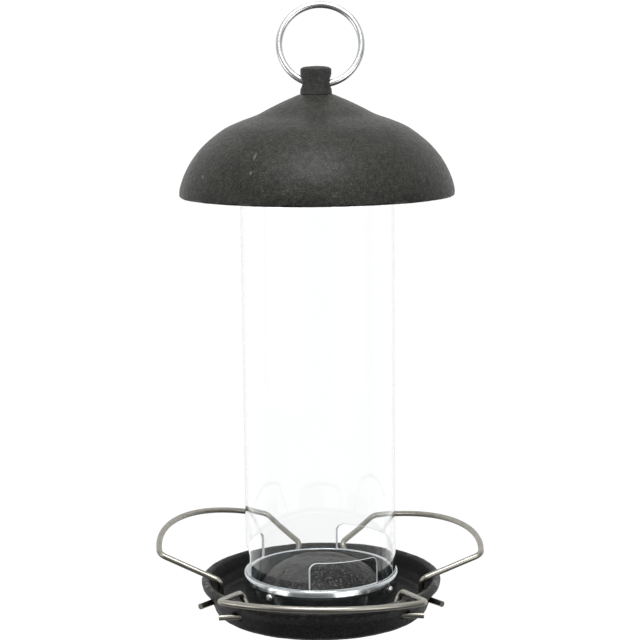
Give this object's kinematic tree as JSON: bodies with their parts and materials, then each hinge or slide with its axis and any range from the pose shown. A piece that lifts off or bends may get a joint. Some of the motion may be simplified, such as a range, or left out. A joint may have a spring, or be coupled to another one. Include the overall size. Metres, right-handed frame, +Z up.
{
  "type": "hanging bird feeder",
  "caption": "Hanging tube feeder for garden birds: clear tube with feeding ports, cast roof with knob and ring, cast seed tray and fold-up wire perches.",
  "frame": {"origin": "centre of the tray's underside, on the plane that it stands on", "axes": "+Z up along the tube, front towards -Y with one perch facing it, +X to the right"},
  "size_m": [0.1971, 0.1908, 0.3609],
  "materials": {
    "tray_coat": "cast metal, rough black powder coat",
    "roof_coat": "cast metal, rough charcoal powder coat",
    "knob_coat": "cast metal, rough dark powder coat",
    "galvanised": "galvanised sheet, glossy",
    "zinc_steel": "zinc plated, satin",
    "perch_wire": "drawn stainless wire, satin",
    "ring_wire": "plated, bright",
    "clear_acrylic": "clear, polished"
  },
  "bodies": {
    "root": {"tray": "tray_coat", "seed_dome": "tray_coat", "base_bolt": "zinc_steel", "base_washer": "zinc_steel", "feed_tube": "clear_acrylic", "lower_collar": "galvanised", "liner_ring": "galvanised", "lower_screws": "zinc_steel", "lower_nuts": "zinc_steel", "upper_collar": "galvanised", "bridge": "zinc_steel", "bridge_nut": "zinc_steel", "upper_screws": "zinc_steel", "upper_nuts": "zinc_steel"},
    "roof": {"roof": "roof_coat"},
    "hanger": {"knob": "knob_coat", "knob_stud": "zinc_steel", "knob_washer": "zinc_steel", "knob_clip": "zinc_steel"},
    "ring": {"hanging_ring": "ring_wire"},
    "perch_front": {"perch_front": "perch_wire"},
    "perch_left": {"perch_left": "perch_wire"},
    "perch_right": {"perch_right": "perch_wire"}
  },
  "joints": [
    {"name": "roof_lift", "type": "slide", "parent": "root", "child": "roof", "axis": [0, 0, 1], "range_m": [0, 0.08]},
    {"name": "knob_turn", "type": "hinge", "parent": "roof", "child": "hanger", "pos_m": [0, 0, 0.3077], "axis": [0, 0, 1], "continuous": true},
    {"name": "ring_swing", "type": "hinge", "parent": "hanger", "child": "ring", "pos_m": [0, 0, 0.3146], "axis": [1, 0, 0], "range_deg": [-88, 128]},
    {"name": "perch_front_fold", "type": "hinge", "parent": "root", "child": "perch_front", "pos_m": [0, -0.0461, 0.0098], "axis": [-1, 0, 0], "range_deg": [0, 66]},
    {"name": "perch_left_fold", "type": "hinge", "parent": "root", "child": "perch_left", "pos_m": [-0.03992, 0.02305, 0.0098], "axis": [0.5, 0.866, 0], "range_deg": [0, 54]},
    {"name": "perch_right_fold", "type": "hinge", "parent": "root", "child": "perch_right", "pos_m": [0.03992, 0.02305, 0.0098], "axis": [0.5, -0.866, 0], "range_deg": [0, 57]}
  ]
}
